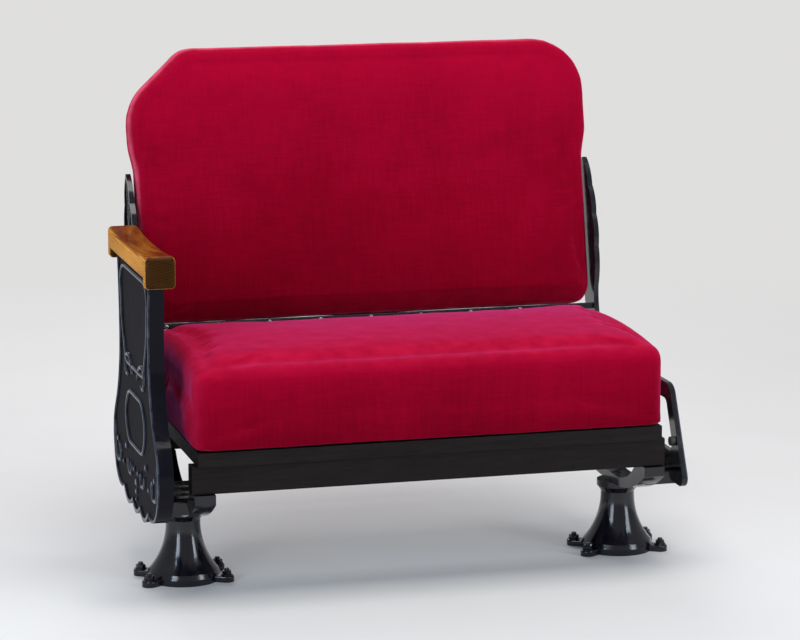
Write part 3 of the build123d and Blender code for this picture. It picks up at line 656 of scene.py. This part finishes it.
def inflate(piece, farthest, held_below):
    """Blows a stuffed piece out like a tight cover.

    Its points under the height held_below stay still. No point moves by more than farthest, or
    inwards by more than PULL_IN.
    """
    start = [vertex.co.copy() for vertex in piece.data.vertices]
    normals = [vertex.normal.copy() for vertex in piece.data.vertices]
    held = piece.vertex_groups.new(name="held")
    held.add([index for index, point in enumerate(start) if point.z < held_below], 1.0, "REPLACE")
    cloth = piece.modifiers.new("cover", "CLOTH")
    for key, value in COVER_CLOTH.items():
        setattr(cloth.settings, key, value)
    cloth.settings.effector_weights.gravity = 0
    cloth.settings.vertex_group_mass = "held"
    cloth.point_cache.frame_start = 1
    cloth.point_cache.frame_end = CLOTH_STEPS
    for step in range(1, CLOTH_STEPS + 1):
        bpy.context.scene.frame_set(step)
    apply_modifiers(piece)
    for vertex, before, normal in zip(piece.data.vertices, start, normals):
        moved = vertex.co - before
        moved += normal * max(0.0, -moved.dot(normal) - PULL_IN)
        vertex.co = before + moved * (farthest / max(moved.length, farthest))
    piece.vertex_groups.clear()
    bpy.context.scene.frame_set(1)


def add_lumps(piece, height, length, seed):
    """Slow unevenness of hair stuffing under a cover."""
    shift = Vector([seed * share for share in LUMP_SHIFT])
    push(piece, lambda point: height * noise.fractal(point / length + shift, *LUMP_FRACTAL))


def finish_cover(piece, material, node, body):
    """Makes a cover finer and puts it in its node's place."""
    subdivision = piece.modifiers.new("fine", "SUBSURF")
    subdivision.levels = 1
    subdivision.render_levels = 1
    apply_modifiers(piece)
    dress(piece.data, material)
    piece.data.shade_smooth()
    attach(piece, body)
    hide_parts(node)


def make_cushion():
    """Crowned plush cushion with canvas on its underside."""
    low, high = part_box("cushion")
    piece = remeshed_copy("cushion_cover", "cushion")
    inflate(piece, CUSHION_RISE, low.z + CUSHION_HELD)
    add_lumps(piece, *CUSHION_LUMPS)

    def within(point):
        """Keeps a point above the base and near the cushion's ends."""
        point.x = held_between(point.x, low.x - CUSHION_PROUD, high.x + CUSHION_PROUD)
        point.z = max(point.z, low.z + COVER_GAP)
        return point

    settle(piece, within)
    finish_cover(piece, crimson_cushion, "cushion", "frame")
    piece.data.materials.append(brown_hessian)
    for polygon in piece.data.polygons:
        if polygon.normal.z < CANVAS_FACING and polygon.center.z < low.z + CANVAS_REACH:
            polygon.material_index = 1


def seated_on_rail(point):
    """Lets the foot of the back's cover down again onto the back rail."""
    away = point - Vector((0, BACK_FOOT_Y, BACK_FOOT_Z))
    up_the_back = Vector((0, math.sin(BACK_LEAN), math.cos(BACK_LEAN)))
    share = 1.0 - (away.dot(up_the_back) - COVER_SHRINK) / FOOT_REACH
    return point - up_the_back * (held_between(share, 0.0, 1.0) * (COVER_SHRINK - FOOT_GAP))


def make_back():
    """Plush back, covered on both faces, between its two leaf castings."""
    low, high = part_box("back_pad")
    aisle_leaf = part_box("aisle_back_casting")[1]
    window_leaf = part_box("window_back_casting")[0]
    piece = remeshed_copy("back_cover", "back_pad")
    settle(piece, seated_on_rail)
    inflate(piece, BACK_RISE, low.z + BACK_HELD)
    add_lumps(piece, *BACK_LUMPS)

    def within(point):
        """Keeps a point between the leaves, and above them near the back's ends."""
        if point.z < aisle_leaf.z:
            point.x = held_between(point.x, aisle_leaf.x + COVER_GAP, window_leaf.x - COVER_GAP)
        point.x = held_between(point.x, low.x - BACK_PROUD, high.x + BACK_PROUD)
        return point

    settle(piece, within)
    finish_cover(piece, crimson_back, "back_pad", "back")


# Small fasteners


def lathe(form, profile, sides, place, spin):
    """Adds a closed turned form to a bmesh, from rows of (radius, height) up the place's own Z."""
    rings = []
    for radius, height in profile:
        ring = []
        for step in range(sides):
            angle = spin + math.tau * step / sides
            point = Vector((radius * math.cos(angle), radius * math.sin(angle), height)) * MM
            ring.append(form.verts.new(place @ point))
        rings.append(ring)
    for lower, upper in zip(rings, rings[1:]):
        for step in range(sides):
            after = (step + 1) % sides
            form.faces.new((lower[step], lower[after], upper[after], upper[step]))
    form.faces.new(rings[0][::-1])
    form.faces.new(rings[-1])


def fasteners(name, slot, body, head, places):
    """One joined piece of like fasteners, at rows of (point, direction that the head faces)."""
    form = bmesh.new()
    for number, (at, facing) in enumerate(places):
        upright = Vector(UP).rotation_difference(Vector(facing)).to_matrix().to_4x4()
        place = Matrix.Translation(Vector(at)) @ upright
        for sides, profile in head:
            lathe(form, profile, sides, place, math.radians(HEAD_TURN * number))
    piece = linked(name, to_mesh(form, name))
    dress(piece.data, SLOT_FINISH[slot])
    piece.data.shade_smooth()
    piece.data.set_sharp_from_angle(angle=math.radians(HEAD_CREASE))
    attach(piece, body)


def foot_x(side):
    """The X of a pedestal's middle."""
    return mounts[side + "_foot_bolts"]["pos_m"][0]


def outer_x(node, outward):
    """The X of a node's end face on the side that outward, -1 or 1, points to."""
    low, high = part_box(node)
    return low.x if outward < 0 else high.x


def middle_y(node):
    """The Y of a node's middle."""
    low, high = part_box(node)
    return (low.y + high.y) / 2


def back_point(along, across, up):
    """A point of the leaning back at X along, then across its thickness and up it from its foot."""
    sin_lean = math.sin(BACK_LEAN)
    cos_lean = math.cos(BACK_LEAN)
    y = BACK_FOOT_Y + across * cos_lean + up * sin_lean
    z = BACK_FOOT_Z - across * sin_lean + up * cos_lean
    return along, y, z


def make_foot_bolts(side):
    """Four bolts down through a pedestal's ears."""
    spacing = mounts[side + "_foot_bolts"]["dims"]
    half_x = spacing["spacing_x_mm"] / 2 * MM
    half_y = spacing["spacing_y_mm"] / 2 * MM
    corners = [(foot_x(side) + x, y) for x in (-half_x, half_x) for y in (-half_y, half_y)]
    places = [((x, y, EAR_TOP), UP) for x, y in corners]
    fasteners(side + "_foot_bolts", "enamelled_iron", "frame", FOOT_BOLT, places)


def make_yoke_bolts(side):
    """Two bolts up through each end of a yoke into the rail above it."""
    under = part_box(side + "_yoke")[1].z - YOKE_THICK
    rails = [middle_y("front_rail"), middle_y("rear_rail")]
    places = [((foot_x(side) + x, y, under), DOWN) for x in (-YOKE_BOLT_X, YOKE_BOLT_X) for y in rails]
    fasteners(side + "_yoke_bolts", "enamelled_iron", "frame", HEX_HEAD, places)


def make_window_end_bolts():
    """Two bolts through the lugs of the window end."""
    x = outer_x("window_end", 1) - LUG_SET_BACK
    places = [((x, y, LUG_Z), (1, 0, 0)) for y in (-LUG_Y, LUG_Y)]
    fasteners("window_end_bolts", "enamelled_iron", "frame", HEX_HEAD, places)


def make_back_rail_screws():
    """An even row of screws along each face of the back rail."""
    low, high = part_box("back_rail")
    places = []
    for face in (-1, 1):
        facing = (0, face * math.cos(BACK_LEAN), -face * math.sin(BACK_LEAN))
        for step in range(RAIL_SCREWS):
            along = low.x + (high.x - low.x) * (step + 0.5) / RAIL_SCREWS
            places.append((back_point(along, face * BACK_RAIL_HALF, -BACK_RAIL_THICK / 2), facing))
    fasteners("back_rail_screws", "bare_steel", "back", DOME_SCREW, places)


def make_leaf_screws(side, outward):
    """Four screws through a leaf casting into the back."""
    x = outer_x(side + "_back_casting", outward) - outward * LEAF_SET_BACK
    places = [(back_point(x, across, up), (outward, 0, 0)) for across, up in LEAF_SCREWS]
    fasteners(side + "_leaf_screws", "bare_steel", "back", DOME_SCREW, places)


def make_pin_washers(side, outward):
    """A washer and pin end on each of the two pivot pins of one side."""
    x = outer_x(side + "_pivot_pins", outward)
    places = [((x, y, z), (outward, 0, 0)) for y, z in PIN_PLACES]
    fasteners(side + "_pin_washers", "bare_steel", "back", PIN_WASHER, places)


def make_fasteners():
    """Every small fastener that the frame leaves out."""
    for side in ("aisle", "window"):
        make_foot_bolts(side)
        make_yoke_bolts(side)
    make_window_end_bolts()
    make_back_rail_screws()
    for side, outward in (("aisle", -1), ("window", 1)):
        make_leaf_screws(side, outward)
        make_pin_washers(side, outward)


# Stage, light and camera


def aim(made, place, target):
    """Puts a lamp or camera in its place, turned towards a target."""
    made.location = place
    made.rotation_euler = (Vector(target) - Vector(place)).to_track_quat("-Z", "Y").to_euler()


def make_stage():
    """Wide floor that takes the seat's shadow."""
    half = FLOOR_HALF
    corners = [(-half, -half, 0), (half, -half, 0), (half, half, 0), (-half, half, 0)]
    mesh = bpy.data.meshes.new("floor")
    mesh.from_pydata(corners, [], [(0, 1, 2, 3)])
    dress(mesh, pale_floor("pale_floor"))
    linked("floor", mesh)


def make_light():
    """Even pale surroundings, windows on both sides, a ceiling, and two narrow strips for the gloss."""
    world = bpy.data.worlds.new("studio")
    bpy.context.scene.world = world
    world.use_nodes = True
    sky = world.node_tree.nodes["Background"]
    sky.inputs["Color"].default_value = (*SKY, 1)
    sky.inputs["Strength"].default_value = SKY_STRENGTH
    for name, place, size, energy, colour in LAMPS:
        light = bpy.data.lights.new(name, "AREA")
        light.shape = "RECTANGLE"
        light.size, light.size_y = size
        light.energy = energy
        light.color = colour
        aim(linked(name, light), place, (cad_low + cad_high) / 2)


def make_camera():
    """Long lens that sees the seat as the photograph does."""
    camera = linked("camera", bpy.data.cameras.new("camera"))
    aim(camera, CAMERA_PLACE, CAMERA_TARGET)
    camera.data.lens = CAMERA_LENS
    camera.data.clip_end = CAMERA_REACH
    bpy.context.scene.camera = camera


# Build

for subpart in frame["record"]["subparts"]:
    own = panel_enamel if subpart["node"] == "aisle_panel" else SLOT_FINISH[subpart["material_slot"]]
    dress(nodes[subpart["node"]].data, own)

bpy.context.scene.view_settings.view_transform = "Standard"
make_stage()
make_light()
make_camera()
make_cushion()
make_back()
make_fasteners()
